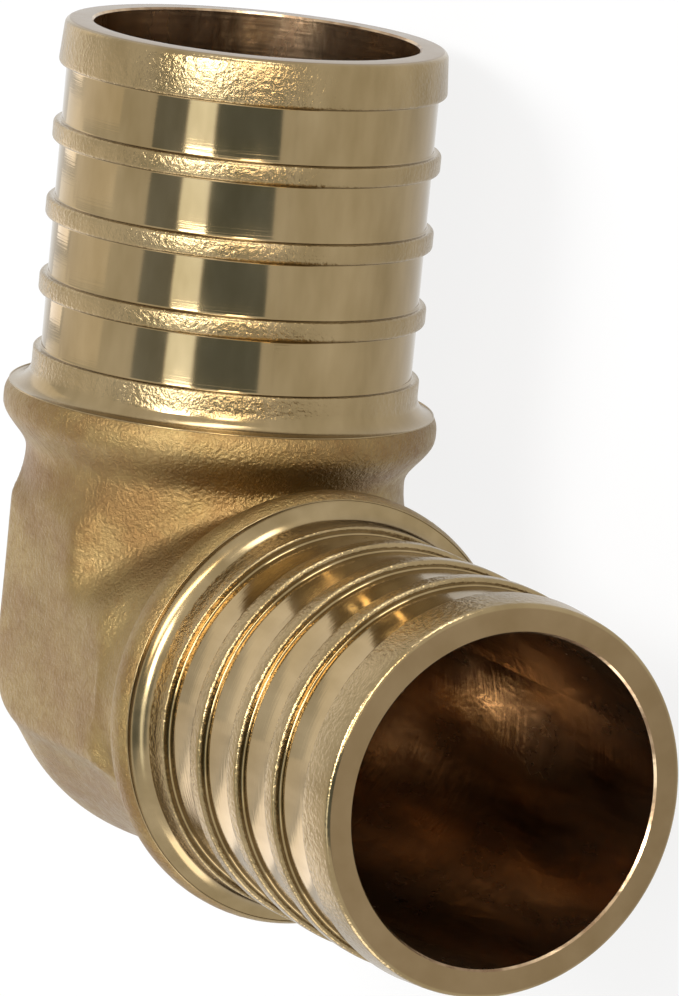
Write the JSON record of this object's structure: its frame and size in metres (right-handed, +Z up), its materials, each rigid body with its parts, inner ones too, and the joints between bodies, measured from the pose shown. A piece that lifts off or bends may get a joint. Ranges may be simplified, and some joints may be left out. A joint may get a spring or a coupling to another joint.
{
  "type": "pex crimp elbow",
  "caption": "Brass 90-degree elbow with a ribbed crimp insert on each end, a collar behind each insert, and a waterway right through, for plastic water tube.",
  "frame": {"origin": "where the axes of the two waterways cross", "axes": "+X along one leg and +Y along the other, both out of their mouths; +Z up from the plane of the two legs, as the elbow lies on its side"},
  "size_m": [0.0479, 0.0478, 0.0246],
  "materials": {
    "brass": "bright turned brass on the inserts, shoulders and end faces, dull as-forged skin on the elbow between the collars, dark drilled waterway"
  },
  "bodies": {
    "root": {"elbow": "brass"}
  },
  "joints": []
}
